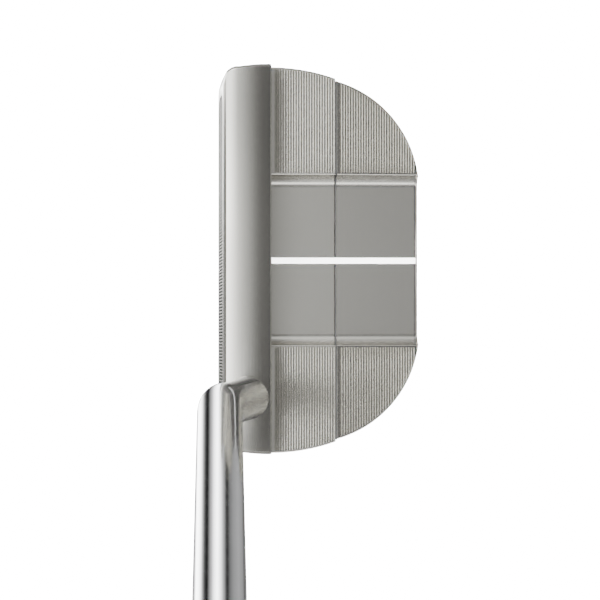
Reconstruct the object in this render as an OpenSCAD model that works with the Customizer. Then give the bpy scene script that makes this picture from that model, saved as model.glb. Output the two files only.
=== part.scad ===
// Mallet putter: two-piece milled head, double-bend steel shaft, flat-front grip.
// Right-handed club. +X runs to the heel, +Y to the back of the head, +Z up.
// The origin is on the flat sole, under the sight line, half way from face to back.

/* [Head] */
// heel to toe
head_w = 108; // [104:1:112]
// leading edge to back edge
head_d = 56.5; // [56:0.5:58]
// height of the front bar at its face
bar_h = 25; // [24:0.5:27]
// leading edge to the back wall of the bar
bar_d = 14.8; // [14.5:0.1:15]
// backward lean of the face, degrees
loft = 3.5; // [2.5:0.5:4]
// leading edge to the seam between the two bodies
seam_d = 33.3; // [32.9:0.2:34.1]
// height of the ribbed flanges beside the bar
flange_h = 16; // [15.5:0.5:17]
// downward slope of the flanges behind the seam, degrees
flange_fall = 5.8; // [4:0.2:6.5]
// radius of the rear corners, seen from above
corner_r = 31.5; // [31.3:0.1:31.9]
// how far the rear block's sides stand inside the front block's at the seam
rear_step = 0.6; // [0.3:0.1:0.7]

/* [Channel] */
// width between the channel walls
channel_w = 47.8; // [46:0.2:50]
// height of the channel floor
floor_h = 9.5; // [9:0.5:10]
// radius between wall and floor
channel_r = 3.4; // [2.6:0.2:4]
// downward slope of the floor behind the seam, degrees
floor_fall = 0.8; // [0.4:0.2:1.2]
// width of the white sight line
line_w = 1.72; // [1:0.02:3]

/* [Ribs] */
// groove to groove
rib_pitch = 0.73; // [0.7:0.01:1.2]
// groove depth
rib_depth = 0.3; // [0.2:0.05:0.5]
// flat rim left round each ribbed field
rib_rim = 0.6; // [0.5:0.1:1.2]

/* [Face plate] */
// length of the striking plate
plate_w = 92; // [84:1:94]
// height of the striking plate
plate_h = 18.6; // [16:0.2:19.2]
// pitch of the diamond grooves along the plate
diamond_pitch = 3.5; // [3:0.5:6]

/* [Shaft] */
// outside diameter at the head
shaft_od = 11.1; // [10.8:0.1:11.6]
// outside diameter under the grip
butt_od = 14.8; // [14:0.1:15.2]
// tube wall
shaft_wall = 0.6; // [0.5:0.05:0.7]
// angle between shaft and ground, degrees
lie = 70; // [69:0.5:72]
// centre-line radius of both bends
bend_r = 30; // [26:1:34]
// ground to the end of the grip, along the shaft
club_l = 864; // [838:1:889]

/* [Grip] */
// grip length
grip_l = 264; // [240:1:280]
// grip radius at its mouth
grip_mouth_r = 11.2; // [11:0.1:12]
// grip radius at its butt
grip_butt_r = 13.4; // [13:0.1:14]
// shaft axis to the flat thumb side
grip_flat = 10.8; // [10.4:0.1:11]

/* [Hidden] */
$fn = 96;
eps = 1;

face_y = -head_d / 2;
back_y = head_d / 2;
bar_y = face_y + bar_d;
seam_y = face_y + seam_d;
side_r = head_w / 2;
sole_chamfer = 1.2;

// the rear corner arc starts rear_step inside the point where the side arc reaches the seam
corner_y = back_y + 0.15 - corner_r;
corner_x = across(side_r, seam_y - bar_y) - rear_step - across(corner_r, seam_y - corner_y);

// the rear ribs stop where their field has narrowed to this last width
rib_last = 2;
rib_end = corner_y + across(corner_r - rib_rim, channel_w / 2 + rib_rim + rib_last - corner_x);

// crown: the bar's top is an arc, highest half way from face to back wall
crown_y = (face_y + bar_h * tan(loft) + bar_y) / 2;
crown_r = 30;
bar_corner_r = 4;
bar_corner_x = 49.3 * head_w / 108;

channel_x = channel_w / 2;
line_depth = 0.3;

plate_t = 3;
tape_t = 0.3;
plate_z = 12.4;
plate_r = 5;
diamond_w = 0.5;
diamond_depth = 0.25;

gasket_t = 0.3;
gasket_inset = 0.4;

lug_x0 = 27;
lug_x1 = 43;
lug_y1 = 14.5;
lug_h = 5;
lug_gap = 0.1;
screw_r = 1.5;
screw_head_r = 2.75;
screw_head_h = 3;
screw_top = 11.5;
screw_y = 9.5;
screw_xs = [-39, -31, 31, 39];

dowel_r = 2;
dowel_x = 12;
dowel_z = 5;
dowel_half = 6;

weight_x = 36;
weight_y = -13.5;
weight_head_r = 9;
weight_head_h = 2.3;
weight_r = 7.5;
weight_top = 9.2;
weight_step = 3;

skid_w = 48;
skid_l = 13;
skid_y = 19;
skid_t = 2;
skid_r = 3;
skid_screw_x = 20.5;
skid_screw_r = 1.25;
pad_w = 34;
pad_l = 10;
pad_top = 6;

boss_x = 38;
boss_y = face_y + 8.05;
boss_r = 5.8;
boss_top_r = 5.6;
boss_cone = 25.4;
boss_top = 26.5;
post_r = 4.75;
post_z0 = 12;
post_z1 = 45;

// shaft axis above the bends: through a point on the ground just behind the leading edge
axis_x = 5.9;
axis_y = face_y + 0.5;
low_corner_z = 50;
high_corner_z = 90.5;
shaft_dir = [cos(lie), 0, sin(lie)];
low_corner = [boss_x, boss_y, low_corner_z];
high_corner = [axis_x + high_corner_z / tan(lie), axis_y, high_corner_z];
mid_dir = unit(high_corner - low_corner);
low_bend = angle_between([0, 0, 1], mid_dir);
high_bend = angle_between(mid_dir, shaft_dir);
low_turn = atan2(-mid_dir.y, -mid_dir.x);
low_cut = bend_r * tan(low_bend / 2);
high_cut = bend_r * tan(high_bend / 2);
mid_l = norm(high_corner - low_corner) - low_cut - high_cut;

// the same turn seen in the frame carried along the shaft to the second bend
side_dir = [
    cos(low_turn) * cos(low_bend),
    sin(low_turn) * cos(low_bend),
    sin(low_bend)
];
cross_dir = [-sin(low_turn), cos(low_turn), 0];
high_turn = atan2(-shaft_dir * cross_dir, -shaft_dir * side_dir);

band_gap = 0.15;
band_step = 0.02;

// distances along the upper shaft axis, measured from the ground
upper_start = high_corner_z / sin(lie) + high_cut;
taper_start = 300;
taper_end = 580;
cap_t = 6;
shaft_end = club_l - cap_t;
grip_start = club_l - grip_l;
grip_tape_t = 0.2;
core_r = 9.4;
vent_r = 1;
plug_l = 12;

function unit(v) = v / norm(v);
function angle_between(a, b) = acos(unit(a) * unit(b));
function across(radius, offset) = sqrt(radius * radius - offset * offset);

// ---------- shared outlines ----------

// slice of a disc, less than a half turn
module pie(radius, start, span) {
    reach = 3 * radius;
    intersection() {
        circle(r = radius);
        polygon([
            [0, 0],
            [reach * cos(start), reach * sin(start)],
            [reach * cos(start + span), reach * sin(start + span)]
        ]);
    }
}

module both_sides() {
    children();
    mirror([1, 0, 0])
        children();
}

module rounded_rect(w, l, r) {
    square([w - 2 * r, l], center = true);
    square([w, l - 2 * r], center = true);
    for (turn = [0, 1])
        rotate(180 * turn) {
            translate([w / 2 - r, l / 2 - r])
                pie(r, 0, 90);
            translate([r - w / 2, l / 2 - r])
                pie(r, 90, 90);
        }
}

// section of a plate edge, chamfered along the sole
module sole_edge(reach, height) {
    polygon([
        [0, 0],
        [reach - sole_chamfer, 0],
        [reach, sole_chamfer],
        [reach, height],
        [0, height]
    ]);
}

module front_block(height) {
    intersection() {
        translate([0, bar_y, 0])
            rotate_extrude()
                sole_edge(side_r, height);
        slab(bar_y - eps, seam_y - gasket_t / 2);
    }
}

module rear_block(height) {
    intersection() {
        union() {
            both_sides()
                translate([corner_x, corner_y, 0])
                    rotate_extrude()
                        sole_edge(corner_r, height);
            rotate([90, 0, 90])
                translate([0, 0, -corner_x])
                    linear_extrude(2 * corner_x)
                        sole_edge(back_y, height);
        }
        slab(seam_y + gasket_t / 2, back_y);
    }
}

// everything from y0 to y1
module slab(y0, y1) {
    translate([-head_w, y0, -eps])
        cube([2 * head_w, y1 - y0, 40]);
}

// ---------- face and bar ----------

module in_face() {
    translate([0, face_y, 0])
        rotate([-loft, 0, 0])
            children();
}

// sinks an outline drawn in the face plane from y0 to y1 behind the face
module into_face(y0, y1) {
    in_face()
        translate([0, y1, 0])
            rotate([90, 0, 0])
                linear_extrude(y1 - y0)
                    children();
}

module insert_plan(inset) {
    translate([0, plate_z])
        rounded_rect(plate_w - 2 * inset, plate_h - 2 * inset, plate_r - inset);
}

// rounded front corners, leaning back with the face
module leaning_front() {
    in_face()
        translate([0, 0, -3])
            linear_extrude(38) {
                translate([-bar_corner_x, 0])
                    square([2 * bar_corner_x, 30]);
                both_sides() {
                    translate([bar_corner_x, bar_corner_r])
                        pie(bar_corner_r, 270, 90);
                    translate([bar_corner_x, bar_corner_r])
                        square([bar_corner_r, 26]);
                }
            }
}

// section of the bar from face to back wall
module bar_section() {
    intersection() {
        polygon([
            [face_y + 1, 0],
            [bar_y, 0],
            [bar_y, bar_h + 1],
            [face_y - 2, bar_h + 1],
            [face_y - 2, 3]
        ]);
        translate([crown_y, bar_h - crown_r])
            circle(r = crown_r);
    }
}

module bar() {
    intersection() {
        leaning_front();
        union() {
            intersection() {
                rotate([90, 0, 90])
                    translate([0, 0, -head_w])
                        linear_extrude(2 * head_w)
                            bar_section();
                translate([0, bar_y, 0])
                    rotate_extrude()
                        sole_edge(side_r, bar_h + 1);
            }
            translate([boss_x, boss_y, 20])
                cylinder(r = boss_r, h = boss_cone - 20);
            translate([boss_x, boss_y, boss_cone])
                cylinder(r1 = boss_r, r2 = boss_top_r, h = boss_top - boss_cone);
        }
    }
}

// ---------- channel, sight line and ribs ----------

module channel_cut() {
    rotate([90, 0, 0])
        linear_extrude(2 * head_d, center = true)
            both_sides() {
                square([channel_x - channel_r, 20]);
                translate([0, channel_r])
                    square([channel_x, 20]);
                translate([channel_x - channel_r, channel_r])
                    pie(channel_r, 270, 90);
            }
}

// turns about the seam line at the given height
module behind_seam(height, fall) {
    translate([0, seam_y, height])
        rotate([-fall, 0, 0])
            children();
}

module front_line(z0, z1) {
    translate([-line_w / 2, bar_y, z0])
        cube([line_w, seam_y - bar_y, z1 - z0]);
}

module rear_line(z0, z1) {
    intersection() {
        behind_seam(floor_h, floor_fall)
            translate([-line_w / 2, -eps, z0 - floor_h])
                cube([line_w, head_d, z1 - z0]);
        slab(seam_y, back_y - 0.3);
    }
}

// straight grooves across both flanges from y0 to y1, ending inside an arc
module rib_plan(y0, y1, centre, radius) {
    count = floor((y1 - y0 - rib_pitch / 2) / rib_pitch);
    start = (y0 + y1 - (count + 0.5) * rib_pitch) / 2;
    both_sides()
        intersection() {
            translate(centre)
                circle(r = radius - rib_rim);
            for (i = [0 : count])
                translate([channel_x + rib_rim, start + i * rib_pitch])
                    square([side_r, rib_pitch / 2]);
        }
}

// ---------- joint between the bodies ----------

module lugs(grow) {
    both_sides()
        translate([lug_x0 - grow, seam_y - 2, -eps])
            cube([
                lug_x1 - lug_x0 + 2 * grow,
                lug_y1 + grow - seam_y + 2,
                lug_h + eps
            ]);
}

module at_screws() {
    for (x = screw_xs)
        translate([x, screw_y, 0])
            children();
}

module dowel_bars() {
    for (side = [-1, 1])
        translate([side * dowel_x, seam_y + dowel_half, dowel_z])
            rotate([90, 0, 0])
                cylinder(r = dowel_r, h = 2 * dowel_half);
}

module weight_recess() {
    translate([0, 0, -eps])
        cylinder(r = weight_head_r + 0.1, h = weight_step + eps);
    cylinder(r = weight_r, h = weight_top + 0.3);
}

module front_body() {
    color([0.62, 0.61, 0.59])
        difference() {
            union() {
                bar();
                difference() {
                    front_block(flange_h);
                    intersection() {
                        translate([0, 0, floor_h])
                            channel_cut();
                        slab(bar_y, back_y);
                    }
                }
                intersection() {
                    lugs(0);
                    translate([-head_w, 0, 0])
                        cube([2 * head_w, head_d, lug_h]);
                }
            }
            into_face(-eps, plate_t + tape_t)
                insert_plan(0);
            translate([boss_x, boss_y, post_z0])
                cylinder(r = post_r, h = 30);
            for (side = [-1, 1])
                translate([side * weight_x, weight_y, 0])
                    weight_recess();
            at_screws() {
                translate([0, 0, -eps])
                    cylinder(r = screw_head_r + 0.25, h = screw_head_h + 0.2 + eps);
                cylinder(r = screw_r + 0.2, h = lug_h + eps);
            }
            dowel_bars();
            front_line(floor_h - line_depth, floor_h + eps);
            translate([0, 0, flange_h - rib_depth])
                linear_extrude(2)
                    rib_plan(
                        bar_y + 1.1,
                        seam_y - gasket_t / 2 - rib_rim,
                        [0, bar_y],
                        side_r
                    );
        }
}

module rear_body() {
    color([0.62, 0.61, 0.59])
        difference() {
            intersection() {
                rear_block(flange_h + 2);
                behind_seam(flange_h, flange_fall)
                    translate([-head_w, -20, -40])
                        cube([2 * head_w, 2 * head_d, 40]);
            }
            behind_seam(floor_h, floor_fall)
                channel_cut();
            translate([0, back_y, floor_h - (back_y - seam_y) * tan(floor_fall)])
                rotate([45, 0, 0])
                    cube([channel_w - 2 * channel_r, 0.9, 0.9], center = true);
            lugs(lug_gap);
            at_screws()
                cylinder(r = screw_r, h = screw_top + 0.5);
            dowel_bars();
            rear_line(floor_h - line_depth, floor_h + eps);
            translate([0, skid_y, -eps])
                linear_extrude(skid_t + eps)
                    rounded_rect(skid_w, skid_l, skid_r);
            translate([0, skid_y, 0])
                linear_extrude(pad_top)
                    square([pad_w, pad_l], center = true);
            for (side = [-1, 1])
                translate([side * skid_screw_x, skid_y, 0])
                    cylinder(r = skid_screw_r, h = 7.3);
            behind_seam(flange_h, flange_fall)
                translate([0, -seam_y, -rib_depth])
                    linear_extrude(3)
                        rib_plan(
                            seam_y + gasket_t / 2 + rib_rim,
                            rib_end,
                            [corner_x, corner_y],
                            corner_r
                        );
        }
}

module joint_gasket() {
    color([0.09, 0.09, 0.09])
        difference() {
            intersection() {
                translate([0, bar_y, 0])
                    cylinder(r = side_r - gasket_inset, h = flange_h - gasket_inset);
                translate([-head_w, seam_y - gasket_t / 2, gasket_inset])
                    cube([2 * head_w, gasket_t, 20]);
            }
            translate([0, 0, floor_h - gasket_inset])
                intersection() {
                    channel_cut();
                    translate([0, 0, 10])
                        cube([channel_w + 2 * gasket_inset, 2 * head_d, 20], center = true);
                }
            lugs(lug_gap);
            dowel_bars();
        }
}

module sight_line() {
    color([0.97, 0.97, 0.95]) {
        front_line(floor_h - line_depth, floor_h - 0.02);
        rear_line(floor_h - line_depth, floor_h - 0.02);
    }
}

// ---------- face plate ----------

module diamond_plan() {
    half = ceil((plate_w + plate_h) / 2 / diamond_pitch);
    intersection() {
        insert_plan(0.8);
        for (i = [-half : half], lean = [-45, 45])
            translate([i * diamond_pitch, plate_z])
                rotate(lean)
                    square([diamond_w, 2 * plate_h], center = true);
    }
}

module face_insert() {
    color([0.66, 0.66, 0.65])
        difference() {
            into_face(0, plate_t)
                insert_plan(0);
            into_face(-eps, diamond_depth)
                diamond_plan();
        }
}

module insert_tape() {
    color([0.16, 0.16, 0.17])
        into_face(plate_t, plate_t + tape_t)
            insert_plan(0.6);
}

// ---------- weights and fasteners ----------

module weight() {
    difference() {
        union() {
            translate([0, 0, 0.2])
                cylinder(r = weight_head_r, h = weight_head_h);
            cylinder(r = weight_r, h = weight_top);
        }
        translate([0, 0, -eps])
            cylinder(r = weight_r + eps, h = 0.2 + eps);
        translate([0, 0, -eps])
            cylinder(r = 3.5, h = 4.5, $fn = 6);
    }
}

module toe_weight() {
    color([0.35, 0.35, 0.36])
        translate([-weight_x, weight_y, 0])
            weight();
}

module heel_weight() {
    color([0.35, 0.35, 0.36])
        translate([weight_x, weight_y, 0])
            weight();
}

module weight_washers() {
    color([0.1, 0.1, 0.1])
        for (side = [-1, 1])
            translate([side * weight_x, weight_y, 0.2 + weight_head_h])
                difference() {
                    cylinder(r = weight_head_r - 0.2, h = weight_step - weight_head_h - 0.2);
                    translate([0, 0, -eps])
                        cylinder(r = weight_r, h = 4);
                }
}

module body_screws() {
    color([0.22, 0.22, 0.23])
        at_screws()
            difference() {
                union() {
                    translate([0, 0, 0.2])
                        cylinder(r = screw_head_r, h = screw_head_h);
                    translate([0, 0, 1])
                        cylinder(r = screw_r, h = screw_top - 1);
                }
                translate([0, 0, -eps])
                    cylinder(r = 1.44, h = 1.6 + eps, $fn = 6);
            }
}

module joint_dowels() {
    color([0.7, 0.7, 0.71])
        dowel_bars();
}

module sole_plate() {
    color([0.6, 0.6, 0.6])
        difference() {
            translate([0, skid_y, 0])
                linear_extrude(skid_t)
                    rounded_rect(skid_w, skid_l, skid_r);
            for (side = [-1, 1])
                translate([side * skid_screw_x, skid_y, 0]) {
                    translate([0, 0, -eps])
                        cylinder(r = skid_screw_r, h = skid_t + 2 * eps);
                    translate([0, 0, -0.1])
                        cylinder(r1 = 2.5, r2 = 1.1, h = 1.4);
                }
        }
}

module sole_pad() {
    color([0.12, 0.12, 0.13])
        translate([0, skid_y, skid_t])
            linear_extrude(pad_top - skid_t)
                square([pad_w, pad_l], center = true);
}

module plate_screws() {
    color([0.55, 0.55, 0.56])
        for (side = [-1, 1])
            translate([side * skid_screw_x, skid_y, 0])
                difference() {
                    union() {
                        translate([0, 0, 0.1])
                            cylinder(r1 = 2.27, r2 = 1.1, h = 1.03);
                        translate([0, 0, 0.4])
                            cylinder(r = skid_screw_r, h = 6.6);
                    }
                    translate([0, 0, -eps])
                        cylinder(r = 0.8, h = 0.8 + eps, $fn = 6);
                }
}

// ---------- hosel and shaft ----------

module hosel_post() {
    color([0.6, 0.6, 0.6])
        translate([boss_x, boss_y, 0])
            rotate_extrude()
                polygon([
                    [0, post_z0],
                    [post_r, post_z0],
                    [post_r, post_z1 - 0.8],
                    [post_r - 0.8, post_z1],
                    [0, post_z1]
                ]);
}

module shaft_bond() {
    color([0.75, 0.72, 0.6])
        translate([boss_x, boss_y, boss_top])
            difference() {
                cylinder(r = shaft_od / 2 - shaft_wall, h = post_z1 - boss_top - 1);
                translate([0, 0, -eps])
                    cylinder(r = post_r, h = 30);
            }
}

module ring(inner, outer, height) {
    difference() {
        cylinder(r = outer, h = height);
        translate([0, 0, -eps])
            cylinder(r = inner, h = height + 2 * eps);
    }
}

// narrow witness band left where the bending mandrel gripped the tube
module band() {
    translate([0, 0, -2 * band_gap])
        ring(
            shaft_od / 2 - shaft_wall - band_step,
            shaft_od / 2 + band_step,
            4 * band_gap
        );
}

// straight tube between two bands
module tube(length) {
    translate([0, 0, band_gap])
        ring(shaft_od / 2 - shaft_wall, shaft_od / 2, length - 2 * band_gap);
}

// tube swept from +Z toward -X about a centre bend_r away
module bend(angle) {
    trim = band_gap / bend_r * 180 / PI;
    translate([-bend_r, 0, 0])
        rotate([90, 0, 0])
            rotate([0, 0, trim])
                rotate_extrude(angle = angle - 2 * trim)
                    translate([bend_r, 0])
                        difference() {
                            circle(r = shaft_od / 2);
                            circle(r = shaft_od / 2 - shaft_wall);
                        }
}

module past_bend(angle) {
    translate([-bend_r * (1 - cos(angle)), 0, bend_r * sin(angle)])
        rotate([0, -angle, 0])
            children();
}

// half section of the straight shaft above the bends, then its taper
module upper_shaft() {
    low_r = shaft_od / 2;
    high_r = butt_od / 2;
    rotate_extrude()
        polygon([
            [low_r - shaft_wall, upper_start + band_gap],
            [low_r, upper_start + band_gap],
            [low_r, taper_start],
            [high_r, taper_end],
            [high_r, shaft_end],
            [high_r - shaft_wall, shaft_end],
            [high_r - shaft_wall, taper_end],
            [low_r - shaft_wall, taper_start]
        ]);
}

// the shaft axis as +Z, its ground point as the origin, thumb side at +X
module on_axis() {
    translate([axis_x, axis_y, 0])
        rotate([0, 90 - lie, 0])
            rotate([0, 0, 180])
                children();
}

module shaft() {
    color([0.72, 0.72, 0.74]) {
        translate([boss_x, boss_y, boss_top])
            ring(
                shaft_od / 2 - shaft_wall,
                shaft_od / 2,
                low_corner.z - low_cut - boss_top - band_gap
            );
        translate([boss_x, boss_y, low_corner.z - low_cut])
            rotate([0, 0, low_turn]) {
                band();
                bend(low_bend);
                past_bend(low_bend) {
                    band();
                    tube(mid_l);
                    translate([0, 0, mid_l])
                        rotate([0, 0, high_turn]) {
                            band();
                            bend(high_bend);
                        }
                }
            }
        on_axis() {
            translate([0, 0, upper_start])
                band();
            upper_shaft();
        }
    }
}

// ---------- grip ----------

// tube from s0 to s1 along the shaft axis
module sleeve(inner, outer, s0, s1) {
    on_axis()
        translate([0, 0, s0])
            difference() {
                cylinder(r = outer, h = s1 - s0);
                translate([0, 0, -eps])
                    cylinder(r = inner, h = s1 - s0 + 2 * eps);
            }
}

module grip_tape() {
    color([0.85, 0.8, 0.68])
        sleeve(butt_od / 2, butt_od / 2 + grip_tape_t, grip_start + 3, shaft_end);
}

module grip_core() {
    color([0.3, 0.3, 0.32])
        sleeve(butt_od / 2 + grip_tape_t, core_r, grip_start + 3, shaft_end);
}

// keeps what lies behind the flat thumb side
module flat_side() {
    intersection() {
        children();
        translate([grip_flat - 60, -30, grip_start - 10])
            cube([60, 60, grip_l + 20]);
    }
}

module grip_skin() {
    taper = (grip_butt_r - grip_mouth_r) / grip_l;
    color([0.08, 0.08, 0.085])
        on_axis()
            difference() {
                flat_side()
                    translate([0, 0, grip_start])
                        cylinder(
                            r1 = grip_mouth_r,
                            r2 = grip_butt_r - taper * cap_t,
                            h = grip_l - cap_t
                        );
                translate([0, 0, grip_start - eps])
                    cylinder(r = butt_od / 2, h = 4 + eps);
                translate([0, 0, grip_start + 3])
                    cylinder(r = core_r, h = grip_l);
            }
}

module grip_cap() {
    color([0.06, 0.06, 0.06])
        on_axis()
            difference() {
                flat_side()
                    translate([0, 0, shaft_end])
                        rotate_extrude()
                            polygon([
                                [0, 0],
                                [grip_butt_r, 0],
                                [grip_butt_r, cap_t - 1.5],
                                [grip_butt_r - 1.5, cap_t],
                                [0, cap_t]
                            ]);
                translate([0, 0, shaft_end - eps])
                    cylinder(r = vent_r, h = cap_t + 2 * eps);
            }
}

module butt_plug() {
    color([0.2, 0.2, 0.2])
        on_axis()
            translate([0, 0, shaft_end - plug_l])
                cylinder(r = butt_od / 2 - shaft_wall, h = plug_l);
}

front_body();
rear_body();
joint_gasket();
face_insert();
insert_tape();
sight_line();
hosel_post();
shaft_bond();
toe_weight();
heel_weight();
weight_washers();
body_screws();
joint_dowels();
sole_plate();
sole_pad();
plate_screws();
shaft();
grip_tape();
grip_core();
grip_skin();
grip_cap();
butt_plug();
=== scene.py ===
import math

import bmesh
import bpy
from mathutils import Matrix, Vector


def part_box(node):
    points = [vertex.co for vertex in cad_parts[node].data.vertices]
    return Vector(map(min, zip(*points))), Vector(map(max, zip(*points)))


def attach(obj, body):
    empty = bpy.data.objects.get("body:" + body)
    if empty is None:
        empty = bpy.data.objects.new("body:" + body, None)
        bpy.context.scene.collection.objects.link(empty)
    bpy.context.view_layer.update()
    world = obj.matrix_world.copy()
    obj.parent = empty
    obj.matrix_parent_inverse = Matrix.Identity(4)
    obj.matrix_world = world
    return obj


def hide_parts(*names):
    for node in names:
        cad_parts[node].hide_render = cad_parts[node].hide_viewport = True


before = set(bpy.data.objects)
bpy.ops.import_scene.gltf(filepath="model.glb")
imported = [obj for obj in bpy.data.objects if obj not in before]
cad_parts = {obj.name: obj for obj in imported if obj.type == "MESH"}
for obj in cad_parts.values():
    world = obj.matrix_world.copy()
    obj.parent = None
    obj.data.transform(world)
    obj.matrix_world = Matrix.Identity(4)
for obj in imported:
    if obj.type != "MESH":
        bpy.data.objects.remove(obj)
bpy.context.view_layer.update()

# Lengths below are millimetres. build_mesh() turns them into the frame's metres.
MM = 0.001


def box_mm(node):
    low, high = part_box(node)
    return low / MM, high / MM


# ---------------------------------------------------------------- sizes from the frame

front_low, front_high = box_mm("front_body")
gasket_low, gasket_high = box_mm("joint_gasket")
line_low, line_high = box_mm("sight_line")
post_low, post_high = box_mm("hosel_post")

FACE_Y = front_low.y
BACK_Y = box_mm("rear_body")[1].y
HALF_W = front_high.x
GASKET_FRONT = gasket_low.y
GASKET_BACK = gasket_high.y
SEAM_Y = (GASKET_FRONT + GASKET_BACK) / 2

# the front bar: a leaning face, a crowned top and rounded front corners
LOFT = math.radians(3.5)
BAR_D = 14.8
BAR_Y = FACE_Y + BAR_D
BAR_H = 25.0
CROWN_R = 30.0
FACE_TOP_Y = FACE_Y + BAR_H * math.tan(LOFT)
CROWN_Y = (FACE_TOP_Y + BAR_Y) / 2
BAR_CORNER_R = 4.0
BAR_CORNER_X = 49.3
BAR_END_CHAMFER = 0.7
FACE_CHAMFER = 0.75
FACE_CHAMFER_RUN = 0.55

# behind the bar: two ribbed flanges beside a channel, as far as round rear corners that the
# straight back edge cuts off a little
FLANGE_H = 16.0
FLANGE_FALL = math.radians(5.8)
FLOOR_H = 9.5
FLOOR_FALL = math.radians(0.8)
CHANNEL_X = 23.9
CHANNEL_R = 3.4
CORNER_R = 31.5
REAR_STEP = 0.6
CORNER_CUT_OFF = 0.15
CORNER_Y = BACK_Y + CORNER_CUT_OFF - CORNER_R
SEAM_REACH = math.sqrt(HALF_W**2 - (SEAM_Y - BAR_Y) ** 2)
CORNER_X = SEAM_REACH - REAR_STEP - math.sqrt(CORNER_R**2 - (SEAM_Y - CORNER_Y) ** 2)
SOLE_CHAMFER = 1.2
EDGE = 0.28

# the groove for the sight line and the enamel in it
LINE_HALF = (line_high.x - line_low.x) / 2
LINE_DEPTH = 0.3
LINE_PLAY = 0.02
ENAMEL_DROP = 0.03

# at the seam the two blocks have softened edges and stand a little apart round the gasket
SEAM_EDGE = 0.05
SEAM_GAP = 0.2
REAR_PLAY = 0.02

# grooves across the flanges; the lip is a bevel left by the cutter on each one's rear side
RIB_PITCH = 0.73
RIB_DEPTH = 0.5
RIB_GROOVE = 0.5
RIB_LIP = 0.07
FRONT_LIP = 0.023
REAR_LIP = 0.028
RIB_RIM = 0.6
RIB_END = 0.05

BOSS = Vector(((post_low.x + post_high.x) / 2, (post_low.y + post_high.y) / 2, 0))
BOSS_TOP = box_mm("shaft_bond")[0].z

# the shaft's straight upper axis, from its ground point
LIE = math.radians(70)
AXIS_X = 5.9
AXIS_Y = FACE_Y + 0.5
AXIS_FOOT = Vector((AXIS_X, AXIS_Y, 0))
AXIS_DIR = Vector((math.cos(LIE), 0, math.sin(LIE)))
BEND_R = 30.0
LOW_CORNER_Z = 50.0
HIGH_CORNER_Z = 90.5
SHAFT_R = 5.55
BUTT_R = 7.4
TAPER_FROM = 300.0
TAPER_TO = 580.0
CLUB_L = 864.0
GRIP_L = 264.0
CAP_T = 6.0
GRIP_START = CLUB_L - GRIP_L
GRIP_END = CLUB_L - CAP_T


# ---------------------------------------------------------------- meshes


def build_mesh(name, points, faces, material, sharp=30):
    """A mesh object from points in millimetres, smooth except at edges sharper than sharp degrees."""
    mesh = bpy.data.meshes.new(name)
    mesh.from_pydata([Vector(p) * MM for p in points], [], faces)
    mesh.validate()
    mesh.shade_smooth()
    mesh.set_sharp_from_angle(angle=math.radians(sharp))
    mesh.materials.append(material)
    obj = bpy.data.objects.new(name, mesh)
    bpy.context.scene.collection.objects.link(obj)
    return obj


def loft(name, rows, material, sharp=30):
    """Joins closed loops of equal length into one closed skin with flat end caps."""
    count = len(rows[0])
    points = [p for row in rows for p in row]
    faces = []
    for r in range(len(rows) - 1):
        for i in range(count):
            j = (i + 1) % count
            a, b = r * count, (r + 1) * count
            faces.append((a + i, a + j, b + j, b + i))
    faces.append(tuple(reversed(range(count))))
    last = (len(rows) - 1) * count
    faces.append(tuple(last + i for i in range(count)))
    obj = build_mesh(name, points, faces, material, sharp)
    outward(obj)
    return obj


def outward(obj):
    """Turns a closed skin's faces outward."""
    work = bmesh.new()
    work.from_mesh(obj.data)
    bmesh.ops.recalc_face_normals(work, faces=work.faces)
    work.to_mesh(obj.data)
    work.free()


def ring(centre, direction, side, radius, count=64):
    """A circle of points round direction, starting toward side."""
    across = direction.cross(side).normalized()
    points = []
    for i in range(count):
        t = 2 * math.pi * i / count
        points.append(centre + radius * (math.cos(t) * side + math.sin(t) * across))
    return points


def turned(name, centre, profile, material, count=96):
    """A solid turned about a vertical axis, from (radius, height) pairs, bottom to top."""
    up, side = Vector((0, 0, 1)), Vector((1, 0, 0))
    rows = [ring(centre + up * z, up, side, r, count) for r, z in profile]
    return loft(name, rows, material)


def box_solid(name, low, high, material):
    rows = []
    for y in (low[1], high[1]):
        rows.append(
            [
                Vector((low[0], y, low[2])),
                Vector((high[0], y, low[2])),
                Vector((high[0], y, high[2])),
                Vector((low[0], y, high[2])),
            ]
        )
    return loft(name, rows, material)


def combine(base, others, operation):
    """Joins other solids to base, or cuts them from it, and removes them."""
    for other in others:
        step = base.modifiers.new(operation, "BOOLEAN")
        step.operation = operation
        step.solver = "MANIFOLD"
        step.object = other
    graph = bpy.context.evaluated_depsgraph_get()
    result = bpy.data.meshes.new_from_object(base.evaluated_get(graph))
    base.modifiers.clear()
    base.data = result
    for other in others:
        bpy.data.objects.remove(other)
    result.shade_smooth()
    result.set_sharp_from_angle(angle=math.radians(30))
    return base


# ---------------------------------------------------------------- materials


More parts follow.
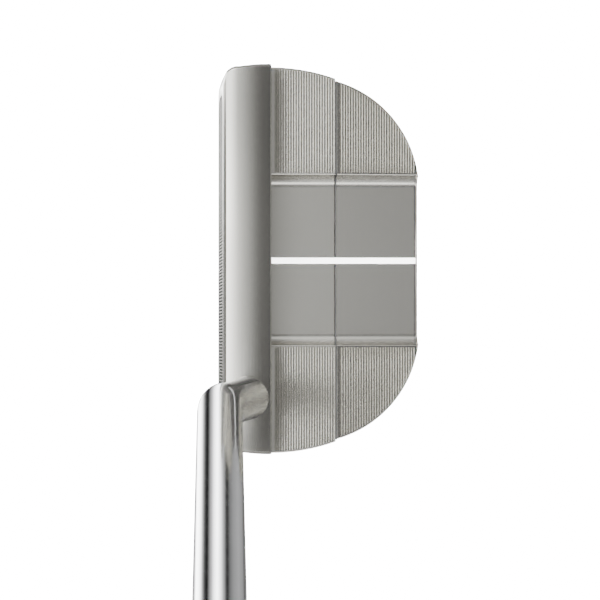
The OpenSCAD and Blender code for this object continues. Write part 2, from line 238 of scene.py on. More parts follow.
class Nodes:
    """A small helper that makes and links shader nodes."""

    def __init__(self, name):
        self.material = bpy.data.materials.new(name)
        self.material.use_nodes = True
        self.tree = self.material.node_tree
        self.shader = self.tree.nodes["Principled BSDF"]

    def add(self, kind, **inputs):
        node = self.tree.nodes.new(kind)
        for key, value in inputs.items():
            node.inputs[key.replace("_", " ")].default_value = value
        return node

    def link(self, source, target):
        self.tree.links.new(source, target)

    def coords(self, scale=(1, 1, 1)):
        place = self.add("ShaderNodeTexCoord")
        stretch = self.add("ShaderNodeMapping", Scale=scale)
        self.link(place.outputs["Object"], stretch.inputs["Vector"])
        return stretch.outputs["Vector"]

    def noise(self, vector, scale, detail=4.0):
        grain = self.add("ShaderNodeTexNoise", Scale=scale, Detail=detail)
        self.link(vector, grain.inputs["Vector"])
        return grain.outputs["Fac"]

    def spread(self, value, low, high):
        """Maps 0.3..0.7, where noise mostly lies, to low..high."""
        remap = self.add("ShaderNodeMapRange")
        remap.inputs["From Min"].default_value = 0.3
        remap.inputs["From Max"].default_value = 0.7
        remap.inputs["To Min"].default_value = low
        remap.inputs["To Max"].default_value = high
        self.link(value, remap.inputs["Value"])
        return remap.outputs["Result"]

    def tint(self, value, dark, light):
        mix = self.tree.nodes.new("ShaderNodeMix")
        mix.data_type = "RGBA"
        mix.inputs["A"].default_value = (*dark, 1)
        mix.inputs["B"].default_value = (*light, 1)
        self.link(value, mix.inputs["Factor"])
        self.link(mix.outputs["Result"], self.shader.inputs["Base Color"])

    def bump(self, height, strength, distance):
        node = self.add("ShaderNodeBump", Strength=strength, Distance=distance)
        self.link(height, node.inputs["Height"])
        self.link(node.outputs["Normal"], self.shader.inputs["Normal"])

    def set(self, **inputs):
        for key, value in inputs.items():
            self.shader.inputs[key.replace("_", " ")].default_value = value


def brushed(name, dark, light, rough, grain=(30, 2500, 2500), strength=0.12, vary=0.035):
    """Satin metal with fine lines running along X."""
    n = Nodes(name)
    lines = n.noise(n.coords(grain), 1.0, 3.0)
    cloud = n.noise(n.coords(), 60.0, 5.0)
    n.set(Metallic=1.0)
    n.tint(n.spread(cloud, 0, 1), dark, light)
    n.link(n.spread(lines, rough - vary, rough + vary), n.shader.inputs["Roughness"])
    n.bump(lines, strength, 0.00002)
    return n.material


def dull_at_edge(material, share):
    """Keeps a milled metal from turning mirror-bright where it is seen nearly edge-on."""
    shader = material.node_tree.nodes["Principled BSDF"]
    shader.inputs["Specular Tint"].default_value = (share, share, share, 1)


def lathed(name, dark, light, rough):
    """Metal with fine rings left by turning, centred on the piece."""
    n = Nodes(name)
    centred = n.add("ShaderNodeMapping", Location=(-0.5, -0.5, 0))
    place = n.add("ShaderNodeTexCoord")
    n.link(place.outputs["Generated"], centred.inputs["Vector"])
    rings = n.add("ShaderNodeTexWave", Scale=24.0, Distortion=0.4, Detail=2.0)
    rings.wave_type = "RINGS"
    rings.rings_direction = "Z"
    n.link(centred.outputs["Vector"], rings.inputs["Vector"])
    n.set(Metallic=1.0)
    n.tint(n.spread(rings.outputs["Fac"], 0, 1), dark, light)
    cloud = n.noise(n.coords(), 300.0)
    n.link(n.spread(cloud, rough - 0.04, rough + 0.05), n.shader.inputs["Roughness"])
    n.bump(rings.outputs["Fac"], 0.25, 0.00003)
    return n.material


def moulded(name, dark, light, rough, cell, depth):
    """Rubber or plastic with a fine moulded grain."""
    n = Nodes(name)
    cloud = n.noise(n.coords(), 90.0, 6.0)
    cells = n.add("ShaderNodeTexVoronoi", Scale=cell)
    n.link(n.coords(), cells.inputs["Vector"])
    n.tint(n.spread(cloud, 0, 1), dark, light)
    n.link(n.spread(cloud, rough - 0.05, rough + 0.06), n.shader.inputs["Roughness"])
    n.bump(cells.outputs["Distance"], 0.5, depth)
    return n.material


head_metal = brushed(
    "head_metal", (0.62, 0.61, 0.565), (0.635, 0.625, 0.58), 0.26, (900, 9000, 9000), 0.003, 0.002
)
plate_steel = brushed("plate_steel", (0.34, 0.34, 0.325), (0.4, 0.4, 0.385), 0.2)
dull_at_edge(plate_steel, 0.25)
post_steel = lathed("post_steel", (0.55, 0.55, 0.55), (0.63, 0.63, 0.62), 0.3)
tungsten = lathed("tungsten", (0.26, 0.26, 0.265), (0.36, 0.36, 0.365), 0.33)
black_steel = lathed("black_steel", (0.035, 0.035, 0.038), (0.06, 0.06, 0.062), 0.4)
shaft_steel = brushed(
    "shaft_steel", (0.74, 0.745, 0.76), (0.79, 0.795, 0.81), 0.1, (900, 900, 60), 0.02
)
enamel = moulded("enamel", (0.90, 0.90, 0.885), (0.95, 0.95, 0.935), 0.38, 2500, 0.00001)
gasket_rubber = moulded("gasket_rubber", (0.02, 0.02, 0.02), (0.035, 0.035, 0.034), 0.6, 1800, 0.00003)
epoxy = moulded("epoxy", (0.62, 0.56, 0.42), (0.70, 0.65, 0.5), 0.3, 900, 0.00002)
tape_paper = moulded("tape_paper", (0.72, 0.68, 0.56), (0.8, 0.76, 0.66), 0.7, 1500, 0.00002)
grip_foam = moulded("grip_foam", (0.14, 0.14, 0.145), (0.2, 0.2, 0.21), 0.8, 1300, 0.0001)
grip_rubber = moulded("grip_rubber", (0.022, 0.022, 0.024), (0.036, 0.036, 0.039), 0.55, 620, 0.00018)
cap_plastic = moulded("cap_plastic", (0.02, 0.02, 0.021), (0.032, 0.032, 0.033), 0.42, 1500, 0.00003)


# ---------------------------------------------------------------- head outline and sections


def side_reach(y):
    """Half width of the head at y, behind the bar."""
    if y <= SEAM_Y:
        return math.sqrt(HALF_W**2 - (y - BAR_Y) ** 2)
    reach = CORNER_X + math.sqrt(CORNER_R**2 - (y - CORNER_Y) ** 2)
    return max(reach, CHANNEL_X + 0.3)


def flange_top(y):
    return FLANGE_H - max(0, y - SEAM_Y) * math.tan(FLANGE_FALL)


def floor_top(y):
    return FLOOR_H - max(0, y - SEAM_Y) * math.tan(FLOOR_FALL)


def crown_top(y):
    return BAR_H - CROWN_R + math.sqrt(CROWN_R**2 - (y - CROWN_Y) ** 2)


def quarter(cx, cz, radius, start, steps):
    """Points on a quarter turn, clockwise seen with X right and Z up, from start degrees."""
    points = []
    for i in range(steps + 1):
        t = math.radians(start - 90 * i / steps)
        points.append((cx + radius * math.cos(t), cz + radius * math.sin(t)))
    return points


def rounded_edge(x, inward, top, edge):
    """Three points over a top edge at x; inward is the way to the solid, 1 or -1."""
    return [
        (x, top - 0.9 * edge),
        (x + inward * 0.2 * edge, top - 0.35 * edge),
        (x + inward * edge, top),
    ]


def sole_corner(reach, low):
    """Points round the chamfered corner at the sole, from the side to the middle."""
    return [
        (reach, low + SOLE_CHAMFER + 0.25),
        (reach - 0.07, low + SOLE_CHAMFER),
        (reach - SOLE_CHAMFER, low + 0.07),
        (reach - SOLE_CHAMFER - 0.25, low),
        (0, low),
    ]


def mirrored(half):
    """The half outline, which starts and ends in the middle, with its mirror image added."""
    return half + [(-x, z) for x, z in reversed(half[1:-1])]


def block_section(y, groove=0.0, inset=0.0):
    """Closed loop round the head behind the bar at y. inset draws it in, to round its end edges."""
    reach = side_reach(y) - inset
    top = flange_top(y) - inset
    floor = floor_top(y) - inset
    wall = min(CHANNEL_X + inset, reach - 0.25)
    rim = min(RIB_RIM, (reach - wall) / 2 - 0.06)
    inner = wall + rim
    outer = reach - rim
    edge = min(EDGE, rim * 0.5)
    line_edge = LINE_HALF - LINE_PLAY
    line_floor = floor_top(y) - LINE_DEPTH - inset
    fillet_x = wall - CHANNEL_R
    half = [
        (0, line_floor),
        (line_edge, line_floor),
        (line_edge, floor - 0.06),
        (line_edge + 0.08, floor),
        (fillet_x - 4, floor),
    ]
    for i in range(11):
        t = math.radians(270 + 9 * i)
        z = floor + CHANNEL_R + CHANNEL_R * math.sin(t)
        half.append((fillet_x + CHANNEL_R * math.cos(t), z))
    half += rounded_edge(wall, 1, top, edge)
    half += [(inner - RIB_END, top), (inner + RIB_END, top - groove)]
    for i in range(1, 5):
        half.append((inner + (outer - inner) * i / 5, top - groove))
    half += [(outer - RIB_END, top - groove), (outer + RIB_END, top)]
    half += reversed(rounded_edge(reach, -1, top, edge))
    half += sole_corner(reach, inset)
    return [Vector((x, y, z)) for x, z in mirrored(half)]


def rib_stations(start, end, lip):
    """(y, depth) pairs that draw V grooves, each with a small bevel of that lip's height behind it."""
    count = int((end - start - RIB_PITCH / 2) / RIB_PITCH) + 1
    first = (start + end - (count - 1) * RIB_PITCH - RIB_GROOVE - RIB_LIP) / 2
    stations = []
    for i in range(count):
        y = first + i * RIB_PITCH
        lip_y = y + RIB_GROOVE
        stations += [
            (y, 0),
            (y + 0.4 * RIB_GROOVE, RIB_DEPTH),
            (y + 0.6 * RIB_GROOVE, RIB_DEPTH),
            (lip_y, lip),
            (lip_y + RIB_LIP, 0),
            (lip_y + RIB_LIP + 0.03, 0),
        ]
    return stations


def front_block_rows():
    """From inside the bar to the softened edge at the seam."""
    end = GASKET_FRONT - SEAM_GAP
    rows = [block_section(BAR_Y - 2), block_section(BAR_Y + 0.02)]
    for y, groove in rib_stations(BAR_Y + 1.1, GASKET_FRONT - RIB_RIM, FRONT_LIP):
        rows.append(block_section(y, groove))
    rows.append(block_section(end - SEAM_EDGE))
    rows.append(block_section(end, 0, SEAM_EDGE))
    return rows


def rear_block_rows():
    """From the softened edge at the seam to the rounded back edge."""
    start = GASKET_BACK + REAR_PLAY
    field_edge = CHANNEL_X + RIB_RIM + 2 - CORNER_X
    rib_end = CORNER_Y + math.sqrt((CORNER_R - RIB_RIM) ** 2 - field_edge**2)
    rows = [block_section(start, 0, SEAM_EDGE), block_section(start + SEAM_EDGE)]
    for y, groove in rib_stations(start + RIB_RIM, rib_end, REAR_LIP):
        rows.append(block_section(y, groove))
    for before, inset in ((1.0, 0), (0.7, 0), (0.58, 0.03), (0, 0.55)):
        rows.append(block_section(BACK_Y - before, 0, inset))
    return rows


def bar_section(behind, plan_y, half_x, low_z, inset=0.0):
    """Loop round the bar that meets its top at plan_y. behind is 0 at the face and 1 at the back."""
    top = crown_top(plan_y) - inset
    lean = (1 - behind) * math.tan(LOFT)
    half = [
        (0, top),
        (half_x - BAR_END_CHAMFER - 0.2, top),
        (half_x - BAR_END_CHAMFER, top - 0.05),
        (half_x - 0.05, top - BAR_END_CHAMFER),
        (half_x, top - BAR_END_CHAMFER - 0.2),
    ]
    half += sole_corner(half_x, low_z)
    return [Vector((x, plan_y - (BAR_H - z) * lean, z)) for x, z in mirrored(half)]


def bar_outline():
    """(y, half width) pairs from the face: a rounded corner, then the side, short of the back."""
    outline = []
    for i in range(13):
        t = math.radians(270 + 7.5 * i)
        y = FACE_TOP_Y + BAR_CORNER_R + BAR_CORNER_R * math.sin(t)
        outline.append((y, BAR_CORNER_X + BAR_CORNER_R * math.cos(t)))
    start = outline[-1][0]
    for i in range(1, 10):
        y = start + (BAR_Y - start) * i / 10
        outline.append((y, math.sqrt(HALF_W**2 - (y - BAR_Y) ** 2)))
    return outline


def bar_rows():
    """The bar from its face, whose top edge is chamfered, to its back, whose top edge is rounded."""
    rows = [
        bar_section(0, FACE_TOP_Y, BAR_CORNER_X - 0.6, 1.0, FACE_CHAMFER + 0.1),
        bar_section(0, FACE_TOP_Y + 0.03, BAR_CORNER_X - 0.3, 0.75, FACE_CHAMFER),
    ]
    for y, x in bar_outline():
        gap = y - FACE_TOP_Y
        if gap >= FACE_CHAMFER_RUN:
            low_z = 0.8 * (1 - math.sqrt(min(1, gap))) ** 1.3
            rows.append(bar_section(gap / (BAR_Y - FACE_TOP_Y), y, x, low_z))
    for before, narrower, lower in ((0.32, 0, 0), (0.04, 0.15, 0.23), (0, 0.2, 0.4)):
        rows.append(bar_section(1, BAR_Y - before, HALF_W - narrower, 0, lower))
    return rows


# ---------------------------------------------------------------- head

# the striking plate: a rounded rectangle set into the leaning face
PLATE_W = 92.0
PLATE_H = 18.6
PLATE_R = 5.0
PLATE_Z = 12.4
PLATE_PLAY = 0.06
POCKET_DEPTH = 3.0
FACE_FRAME = Matrix.Translation((0, FACE_Y, 0)) @ Matrix.Rotation(-LOFT, 4, "X")

# stepped holes in the sole, as (radius, depth) pairs
WEIGHT_HOLE = ((9.1, 3.0), (7.5, 9.5))
SCREW_HOLE = ((3.0, 3.2), (1.7, 6.0))
SCREW_XS = (-39, -31, 31, 39)
SCREW_Y = 9.5

# lugs on the front block that reach under the rear block and take the screws
LUG_IN = 27.0
LUG_OUT = 43.0
LUG_BACK_Y = 14.5
LUG_H = 5.0
LUG_PLAY = 0.1
SKID_PLAY = 0.05


def recess(name, x, y, steps):
    """A stepped round hole up from the sole, with a countersunk mouth."""
    mouth = steps[0][0]
    profile = [(mouth + 0.9, -1.0), (mouth + 0.15, -0.001), (mouth, 0.2)]
    for i, (radius, depth) in enumerate(steps):
        if i:
            profile.append((radius, steps[i - 1][1]))
        profile.append((radius, depth))
    return turned(name, Vector((x, y, 0)), profile, head_metal)


def paired_boxes(name, low, high):
    """The same box on the toe side and on the heel side."""
    boxes = []
    for side in (-1, 1):
        x0, x1 = sorted((side * low[0], side * high[0]))
        boxes.append(box_solid(name, (x0, *low[1:]), (x1, *high[1:]), head_metal))
    return boxes


def plate_loop(grow, depth):
    """The face plate's rounded outline, grown all round, at a depth behind the face."""
    x = PLATE_W / 2 - PLATE_R
    z = PLATE_H / 2 - PLATE_R
    r = PLATE_R + grow
    loop = quarter(x, z, r, 90, 8) + quarter(x, -z, r, 0, 8)
    loop += quarter(-x, -z, r, 270, 8) + quarter(-x, z, r, 180, 8)
    return [FACE_FRAME @ Vector((u, depth, PLATE_Z + v)) for u, v in loop]


def front_piece():
    """The bar, the ribbed block behind it, the shaft boss and the lugs, with their holes cut."""
    bar = loft("front_bar", bar_rows(), head_metal)
    block = loft("front_block", front_block_rows(), head_metal)
    boss_form = [(5.75, 21.5), (5.75, 25.4), (5.6, BOSS_TOP - 0.12), (5.45, BOSS_TOP)]
    boss = turned("boss", BOSS, boss_form, head_metal)
    lug_low = (LUG_IN, GASKET_FRONT - 2, 0)
    lugs = paired_boxes("lug", lug_low, (LUG_OUT, LUG_BACK_Y, LUG_H))
    piece = combine(bar, [block, boss] + lugs, "UNION")
    cuts = []
    for node in ("toe_weight", "heel_weight"):
        low, high = box_mm(node)
        cuts.append(recess("weight_cut", (low.x + high.x) / 2, (low.y + high.y) / 2, WEIGHT_HOLE))
    for x in SCREW_XS:
        cuts.append(recess("screw_cut", x, SCREW_Y, SCREW_HOLE))
    pocket = [plate_loop(PLATE_PLAY, -1.0), plate_loop(PLATE_PLAY, POCKET_DEPTH)]
    cuts.append(loft("pocket", pocket, head_metal))
    piece = combine(piece, cuts, "DIFFERENCE")
    piece.name = "front_body_skin"
    return piece


def rear_piece():
    """The ribbed block behind the seam, with room for the lugs and for the skid plate."""
    piece = loft("rear_body_skin", rear_block_rows(), head_metal)
    room_low = (LUG_IN - LUG_PLAY, SEAM_Y - 3, -1)
    cuts = paired_boxes("lug_cut", room_low, (LUG_OUT + LUG_PLAY, LUG_BACK_Y + LUG_PLAY, LUG_H))
    low, high = box_mm("sole_plate")
    skid_low = (low.x - SKID_PLAY, low.y - SKID_PLAY, -1)
    skid_high = (high.x + SKID_PLAY, high.y + SKID_PLAY, high.z)
    cuts.append(box_solid("plate_cut", skid_low, skid_high, head_metal))
    return combine(piece, cuts, "DIFFERENCE")


def sight_line():
    """White enamel laid in the milled line, a hair below the floor."""
    side = LINE_HALF - LINE_PLAY
    rows = []
    for y in (BAR_Y, SEAM_Y, BACK_Y - 0.55):
        top = floor_top(y) - ENAMEL_DROP
        half = [(side, top - 0.26), (side, top - 0.02), (side - 0.06, top)]
        left = [(-x, z) for x, z in reversed(half)]
        rows.append([Vector((x, y, z)) for x, z in half + left])
    return loft("sight_line_enamel", rows, enamel)


front = front_piece()
rear = rear_piece()
line = sight_line()


# ---------------------------------------------------------------- face plate

# pitch and depth of the crossed milling marks, and the plain border left round them
DIAMOND = 1.75
DIAMOND_DEPTH = 0.16
PLAIN_BORDER = 0.5
PLATE_T = 2.9


def plate_reach(z):
    """Half length of the rounded plate at height z from its middle."""
    over = max(0.0, abs(z) - (PLATE_H / 2 - PLATE_R))
    return PLATE_W / 2 - PLATE_R + math.sqrt(max(0.0, PLATE_R**2 - over**2))


def milled(x, z):
    """Depth of the crossed milling marks at a point of the plate."""
    edge = min(plate_reach(z) - abs(x), PLATE_H / 2 - abs(z))
    fade = min(1.0, max(0.0, (edge - PLAIN_BORDER) / 0.3))
    u = abs(math.sin(math.pi * (x + z) / DIAMOND))
    v = abs(math.sin(math.pi * (x - z) / DIAMOND))
    return DIAMOND_DEPTH * fade * ((1 - u) ** 2 + (1 - v) ** 2)


def face_plate():
    """A fine grid for the milled front, with a rim and a flat back added behind it."""
    columns = 520
    rows = 100
    width = columns + 1
    points = []
    faces = []
    for r in range(rows + 1):
        z = PLATE_H * (r / rows - 0.5)
        reach = plate_reach(min(abs(z), PLATE_H / 2 - 0.02))
        for c in range(columns + 1):
            x = reach * (2 * c / columns - 1)
            points.append(FACE_FRAME @ Vector((x, 0.02 + milled(x, z), PLATE_Z + z)))
    for r in range(rows):
        for c in range(columns):
            a = r * width + c
            faces.append((a, a + 1, a + 1 + width, a + width))
    border = list(range(width))
    border += [r * width + columns for r in range(1, rows + 1)]
    border += [rows * width + c for c in range(columns - 1, -1, -1)]
    border += [r * width for r in range(rows - 1, 0, -1)]
    first = len(points)
    inward = FACE_FRAME.to_3x3() @ Vector((0, 1, 0))
    for index in border:
        points.append(points[index] + inward * PLATE_T)
    total = len(border)
    for i in range(total):
        j = (i + 1) % total
        faces.append((border[i], first + i, first + j, border[j]))
    faces.append(tuple(first + i for i in reversed(range(total))))
    return build_mesh("face_plate_milled", points, faces, plate_steel, 60)


plate = face_plate()


# ---------------------------------------------------------------- shaft

low_corner = Vector((BOSS.x, BOSS.y, LOW_CORNER_Z))
high_corner = AXIS_FOOT + AXIS_DIR * (HIGH_CORNER_Z / math.sin(LIE))


def arc_through(before, corner, after, radius, steps):
    """(point, direction) pairs round a bend of that radius between two straight runs."""
    a = (corner - before).normalized()
    b = (after - corner).normalized()
    angle = a.angle(b)
    cut = radius * math.tan(angle / 2)
    start = corner - a * cut
    normal = (b - a * a.dot(b)).normalized()
    centre = start + normal * radius
    pairs = []
    for i in range(steps + 1):
        t = angle * i / steps
        point = centre + radius * (a * math.sin(t) - normal * math.cos(t))
        pairs.append((point, (a * math.cos(t) + normal * math.sin(t)).normalized()))
    return pairs


def along_axis(s):
    return AXIS_FOOT + AXIS_DIR * s


def shaft_path():
    """(point, direction, radius) triples from the boss to the butt."""
    up = Vector((0, 0, 1))
    path = []
    for above, inset in ((0, 0.25), (0.08, 0.07), (0.3, 0)):
        path.append((Vector((BOSS.x, BOSS.y, BOSS_TOP + above)), up, SHAFT_R - inset))
    first = arc_through(BOSS, low_corner, high_corner, BEND_R, 24)
    second = arc_through(low_corner, high_corner, along_axis(TAPER_FROM), BEND_R, 36)
    path += [(p, d, SHAFT_R) for p, d in first + second]
    for s, r in ((180, SHAFT_R), (TAPER_FROM, SHAFT_R), (TAPER_TO, BUTT_R), (GRIP_END, BUTT_R)):
        path.append((along_axis(s), AXIS_DIR, r))
    return path


def swept(name, path, material, count=72):
    """A tube along (point, direction, radius), its start mark carried without twist."""
    side = Vector((0, 1, 0))
    rows = []
    last = path[0][1]
    for point, direction, radius in path:
        side = last.rotation_difference(direction) @ side
        side = (side - direction * side.dot(direction)).normalized()
        rows.append(ring(point, direction, side, radius, count))
        last = direction
    return loft(name, rows, material)


shaft = swept("shaft_tube", shaft_path(), shaft_steel)


# ---------------------------------------------------------------- grip

GRIP_FLAT = 10.8
GRIP_MOUTH_R = 11.2
GRIP_BUTT_R = 13.4
THUMB = Vector((-math.sin(LIE), 0, math.cos(LIE)))
# how tightly the round section turns into the flat
TURN_POWER = 28

# (inset, distance) pairs of the rounded mouth and of the edge at the cap
MOUTH_FORM = ((2.2, 0.0), (1.2, 0.25), (0.5, 0.8), (0.12, 1.6), (0.0, 2.6))
CAP_EDGE_FORM = ((0.0, 0.9), (0.1, 0.45), (0.35, 0.0))
# (distance, depth) pairs across one of the rings moulded near the mouth
RING_FORM = ((0, 0), (0.25, 0.35), (0.6, 0.5), (0.95, 0.35), (1.2, 0))
RING_COUNT = 3
RING_FROM = 6
RING_PITCH = 3.2


def grip_ring(s, radius, flat, count=120):
    """Round section with a flat thumb side whose edges are softened."""
    across = AXIS_DIR.cross(THUMB).normalized()
    centre = along_axis(s)
    points = []
    for i in range(count):
        t = 2 * math.pi * i / count
        r = radius
        if math.cos(t) > 0.2:
            r = (radius**-TURN_POWER + (flat / math.cos(t)) ** -TURN_POWER) ** (-1 / TURN_POWER)
        points.append(centre + r * (math.cos(t) * THUMB + math.sin(t) * across))
    return points


def grip_radius(s):
    return GRIP_MOUTH_R + (GRIP_BUTT_R - GRIP_MOUTH_R) * (s - GRIP_START) / GRIP_L


def grip_rows():
    """From the rounded mouth, over the moulded rings and the plain length, to the cap."""
    rows = []
    for inset, along in MOUTH_FORM:
        s = GRIP_START + along
        rows.append(grip_ring(s, grip_radius(s) - inset, GRIP_FLAT - inset))
    for i in range(RING_COUNT):
        s = GRIP_START + RING_FROM + RING_PITCH * i
        for along, dip in RING_FORM:
            rows.append(grip_ring(s + along, grip_radius(s) - dip, GRIP_FLAT - dip))
    steps = 46
    plain_from = GRIP_START + 20
    plain_to = GRIP_END - 8
    for i in range(steps + 1):
        s = plain_from + (plain_to - plain_from) * i / steps
        rows.append(grip_ring(s, grip_radius(s), GRIP_FLAT))
    for inset, along in CAP_EDGE_FORM:
        s = GRIP_END - along
        rows.append(grip_ring(s, grip_radius(s) - inset, GRIP_FLAT - inset))
    return rows


grip = loft("grip_skin_moulded", grip_rows(), grip_rubber, 40)


# ---------------------------------------------------------------- pieces and the frame

BODY = "root"

for piece, nodes, slot in (
    (front, ("front_body",), "head_metal"),
    (rear, ("rear_body",), "head_metal"),
    (line, ("sight_line",), "enamel"),
    (plate, ("face_insert",), "plate_steel"),
    (shaft, ("shaft",), "shaft_steel"),
    (grip, ("grip_skin",), "grip"),
):
    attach(piece, BODY)
    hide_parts(*nodes)

# the CAD pieces that keep their own shape, each with its finish
CAD_FINISHES = {
    "joint_gasket": gasket_rubber,
    "insert_tape": gasket_rubber,
    "hosel_post": post_steel,
    "shaft_bond": epoxy,
    "toe_weight": tungsten,
    "heel_weight": tungsten,
    "weight_washers": gasket_rubber,
    "body_screws": black_steel,
    "joint_dowels": post_steel,
    "sole_plate": plate_steel,
    "sole_pad": gasket_rubber,
    "plate_screws": post_steel,
    "grip_tape": tape_paper,
    "grip_core": grip_foam,
    "grip_cap": cap_plastic,
    "butt_plug": cap_plastic,
}
for name, material in CAD_FINISHES.items():
    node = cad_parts[name]
    node.data.materials.clear()
    node.data.materials.append(material)


# ---------------------------------------------------------------- floor and light

SURROUND_GLOW = 16.0
FLOOR_REACH = 7000.0
FLOOR_DROP = 0.1
DOME_R = 8000.0


def white_surround(name):
    """Plain white that the camera sees; light and reflections come from the sky."""
    n = Nodes(name)
    grain = n.noise(n.coords(), 30.0, 6.0)
    n.tint(n.spread(grain, 0, 1), (0.88, 0.88, 0.88), (0.9, 0.9, 0.9))
    n.set(Roughness=0.9, Emission_Color=(1, 1, 1, 1), Emission_Strength=SURROUND_GLOW)
    return n.material


def only_seen(obj):
    """Leaves a surround visible to the camera, but out of all light, shadow and reflection."""
    obj.visible_diffuse = False
    obj.visible_glossy = False
    obj.visible_transmission = False
    obj.visible_shadow = False


signs = ((-1, -1), (1, -1), (1, 1), (-1, 1))
floor_corners = [(x * FLOOR_REACH, y * FLOOR_REACH, 0) for x, y in signs]
floor = build_mesh("floor", floor_corners, [(0, 1, 2, 3)], white_surround("floor_white"))
floor.location.z = -FLOOR_DROP * MM
only_seen(floor)

dome_profile = []
for i in range(1, 24):
    t = math.radians(-90 + 180 * i / 24)
    dome_profile.append((DOME_R * math.cos(t), DOME_R * math.sin(t)))
dome = turned("dome", Vector((0, 0, 0)), dome_profile, white_surround("dome_white"), 48)
only_seen(dome)

# Brightness of the studio above, against the tilt in degrees from straight up toward the
# back: a large soft light over the face side, falling to a dark flag over the back.
ABOVE = (
    (-84, 0.12),
    (-70, 0.4),
    (-60, 1.2),
    (-50, 3.4),
    (-40, 6.6),
    (-32, 9.2),
    (-26, 9.4),
    (-20, 6.2),
    (-15, 2.8),
    (-10, 1.35),
    (-5, 0.76),
    (0, 0.78),
    (5, 0.44),
    (10, 0.13),
    (15, 0.11),
    (28, 0.14),
    (45, 0.12),
    (62, 0.25),
    (72, 1.2),
    (84, 2.2),
)
# Brightness level with the club and a little below, against the heading in degrees from
# the toe side, positive toward the back: strip lights with dark gaps between them.
AROUND = (
    (-180, 1.0),
    (-130, 0.6),
    (-92, 0.6),
    (-84, 2.0),
    (-74, 11.0),
    (-62, 9.0),
    (-56, 5.2),
    (-49, 0.9),
    (-43, 0.2),
    (-38, 0.05),
    (-33, 0.01),
    (-28, 0.3),
    (-20, 1.2),
    (-13, 4.7),
    (-6, 8.0),
    (0, 4.4),
    (8, 1.0),
    (15, 0.2),
    (20, 0.02),
    (26, 0.2),
    (38, 0.44),
    (54, 0.58),
    (72, 0.42),
    (84, 0.12),
    (96, 0.3),
    (130, 0.8),
    (180, 1.0),
)
# Added above the head, against the tilt in degrees toward the heel: one strip light
# along each side.
STRIPS = (
    (-85, 0.05),
    (-62, 0.05),
    (-54, 0.5),
    (-45, 0.9),
    (-38, 0.4),
    (-30, 0.0),
    (30, 0.0),
    (36, 1.6),
    (42, 3.6),
    (47, 3.2),
    (53, 0.6),
    (60, 0.05),
    (85, 0.05),
)
# Share of the overhead light that is left, against the same tilt.
GAPS = (
    (-80, 1.0),
    (-36, 1.0),
    (-26, 0.35),
    (-16, 0.3),
    (-9, 1.0),
    (5, 1.0),
    (10, 0.35),
    (24, 0.35),
    (34, 1.0),
    (80, 1.0),
)
# Brightness straight below the club, and level with it.
STRAIGHT_DOWN = 0.3
HORIZON = 0.3
# The top of the scale that the colour ramps count in.
BRIGHTEST = 12.0


class Sky:
    """Builds the studio's surroundings as a world shader."""

    def __init__(self, name):
        self.world = bpy.data.worlds.new(name)
        self.world.use_nodes = True
        self.tree = self.world.node_tree
        self.back = self.tree.nodes["Background"]

    def math(self, operation, a, b=None):
        node = self.tree.nodes.new("ShaderNodeMath")
        node.operation = operation
        for socket, value in zip(node.inputs, (a, b)):
            if value is None:
                continue
            if isinstance(value, (int, float)):
                socket.default_value = value
            else:
                self.tree.links.new(value, socket)
        return node.outputs["Value"]

    def curve(self, value, stops):
        """Straight-line steps through (value, brightness) stops."""
        low, high = stops[0][0], stops[-1][0]
        remap = self.tree.nodes.new("ShaderNodeMapRange")
        remap.inputs["From Min"].default_value = low
        remap.inputs["From Max"].default_value = high
        self.tree.links.new(value, remap.inputs["Value"])
        ramp = self.tree.nodes.new("ShaderNodeValToRGB")
        elements = ramp.color_ramp.elements
        for at, _ in stops[1:-1]:
            elements.new((at - low) / (high - low))
        for element, (_, brightness) in zip(elements, stops):
            level = brightness / BRIGHTEST
            element.color = (level, level, level, 1)
        self.tree.links.new(remap.outputs["Result"], ramp.inputs["Fac"])
        return self.math("MULTIPLY", ramp.outputs["Color"], BRIGHTEST)

    def step(self, value, low, high):
        remap = self.tree.nodes.new("ShaderNodeMapRange")
        remap.interpolation_type = "SMOOTHSTEP"
        remap.inputs["From Min"].default_value = low
        remap.inputs["From Max"].default_value = high
        self.tree.links.new(value, remap.inputs["Value"])
        return remap.outputs["Result"]

    def blend(self, factor, a, b):
        rest = self.math("SUBTRACT", 1.0, factor)
        return self.math("ADD", self.math("MULTIPLY", rest, a), self.math("MULTIPLY", factor, b))


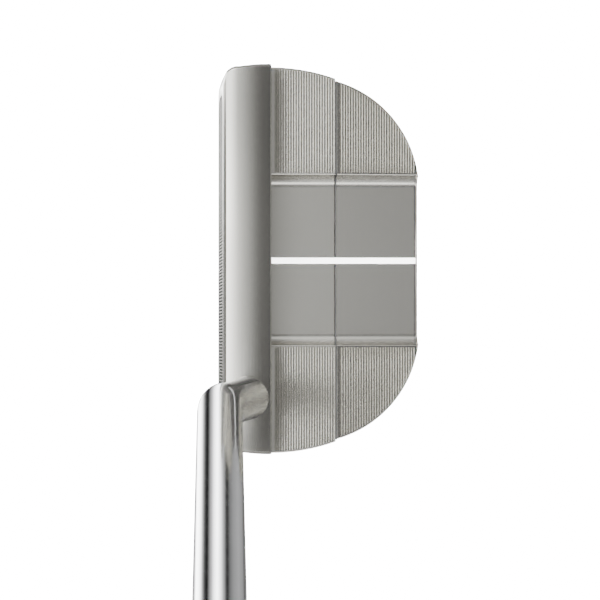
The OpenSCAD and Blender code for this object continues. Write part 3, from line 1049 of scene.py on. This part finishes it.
def studio():
    """The surroundings that light the club and that its metal mirrors."""
    sky = Sky("studio")
    place = sky.tree.nodes.new("ShaderNodeTexCoord")
    parts = sky.tree.nodes.new("ShaderNodeSeparateXYZ")
    sky.tree.links.new(place.outputs["Generated"], parts.inputs["Vector"])
    x, y, z = (parts.outputs[axis] for axis in "XYZ")
    tilt = sky.math("ARCTAN2", y, sky.math("MAXIMUM", z, 0.0))
    above = sky.curve(sky.math("DEGREES", tilt), ABOVE)
    lean = sky.math("DEGREES", sky.math("ARCTAN2", x, sky.math("MAXIMUM", z, 0.0)))
    above = sky.math("MULTIPLY", above, sky.curve(lean, GAPS))
    above = sky.math("ADD", above, sky.curve(lean, STRIPS))
    heading = sky.math("ARCTAN2", y, sky.math("MULTIPLY", x, -1.0))
    around = sky.curve(sky.math("DEGREES", heading), AROUND)
    flat = sky.math("ADD", sky.math("MULTIPLY", x, x), sky.math("MULTIPLY", y, y))
    out = sky.math("SQRT", flat)
    below = sky.blend(sky.step(out, 0.18, 0.27), STRAIGHT_DOWN, around)
    below = sky.blend(sky.step(out, 0.75, 0.9), below, HORIZON)
    level = sky.blend(sky.step(z, 0.05, 0.3), below, above)
    sky.tree.links.new(level, sky.back.inputs["Strength"])
    sky.back.inputs["Color"].default_value = (1, 1, 1, 1)
    return sky.world


bpy.context.scene.world = studio()


def head_spot():
    """A narrow lamp that brightens the head without showing in its metal."""
    data = bpy.data.lights.new("head_spot", "SPOT")
    data.energy = 900
    data.spot_size = math.radians(11)
    data.spot_blend = 0.6
    data.shadow_soft_size = 0.15
    lamp = bpy.data.objects.new("head_spot", data)
    lamp.location = (-0.12, 0.0, 1.3)
    lamp.rotation_euler = (0, math.radians(-5), 0)
    lamp.visible_glossy = False
    bpy.context.scene.collection.objects.link(lamp)


head_spot()


# ---------------------------------------------------------------- camera

# the view of a golfer who looks straight down: the picture's right is +Y and its top is -X
CAMERA_AT = Vector((23.9, AXIS_Y, 651.5))
LOOK = Vector((-0.0199, 0.0353, -1)).normalized()


def golfers_view():
    data = bpy.data.cameras.new("camera")
    data.lens = 136.5
    data.sensor_width = 36
    camera = bpy.data.objects.new("camera", data)
    camera.location = CAMERA_AT * MM
    facing_down = Matrix(((0, -1, 0), (1, 0, 0), (0, 0, 1))).to_quaternion()
    camera.rotation_mode = "QUATERNION"
    camera.rotation_quaternion = Vector((0, 0, -1)).rotation_difference(LOOK) @ facing_down
    bpy.context.scene.collection.objects.link(camera)
    bpy.context.scene.camera = camera


golfers_view()
